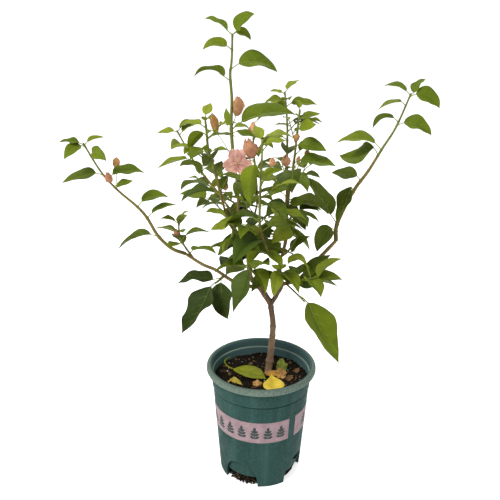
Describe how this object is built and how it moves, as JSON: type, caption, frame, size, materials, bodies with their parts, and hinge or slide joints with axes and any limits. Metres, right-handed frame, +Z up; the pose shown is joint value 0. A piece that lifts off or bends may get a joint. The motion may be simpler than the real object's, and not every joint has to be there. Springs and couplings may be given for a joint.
{
  "type": "potted bougainvillea bush",
  "caption": "Young open-grown bougainvillea shrub with a forked trunk, long arching leafy shoots and papery bracts, standing in a round tapering nursery pot of soil.",
  "frame": {"origin": "centre of the pot's flat underside, on the pot's axis", "axes": "+Z up along the pot's axis, +X to the right and +Y away from the side that the reference view shows"},
  "size_m": [0.4973, 0.2921, 0.6628],
  "materials": {
    "pot_plastic": "satin moulded polypropylene, scuffed, with dusty pale bloom and a worn rim",
    "band": "matt pale pink printed band, slightly dusty",
    "soil": "dark crumbly potting mix with pale grains",
    "bark": "thin brown bark with fine lengthwise ridges, greener on young wood",
    "leaves": "satin green leaves with a pale midrib",
    "stalks": "smooth pale green stalks and young stems",
    "bracts": "papery salmon pink bracts with fine veins",
    "fallen_leaves": "limp yellowed leaves"
  },
  "bodies": {
    "root": {"pot": "pot_plastic", "soil": "soil", "fallen_leaf_green": "fallen_leaves", "fallen_leaf_yellow": "fallen_leaves", "fallen_leaf_orange": "fallen_leaves", "trunk": "bark", "left_fork": "bark", "right_fork": "bark", "left_bough": "bark", "leader_bough": "bark", "mid_left_bough": "bark", "upper_left_bough": "bark", "front_bough": "bark", "back_bough": "bark", "mid_right_bough": "bark", "right_bough": "bark", "rear_bough": "bark", "left_shoot": "leaves", "left_sprig": "leaves", "left_skirt": "leaves", "fork_skirt": "leaves", "centre_skirt": "leaves", "upper_left_shoot": "leaves", "mid_left_shoot": "leaves", "leader_shoot": "leaves", "front_shoot": "leaves", "back_shoot": "leaves", "mid_right_shoot": "leaves", "mid_right_skirt": "leaves", "right_shoot": "leaves", "right_skirt": "leaves", "front_skirt": "leaves", "right_drop": "leaves", "rear_shoot": "leaves", "rear_skirt": "leaves", "rear_left_shoot": "leaves"}
  },
  "joints": []
}
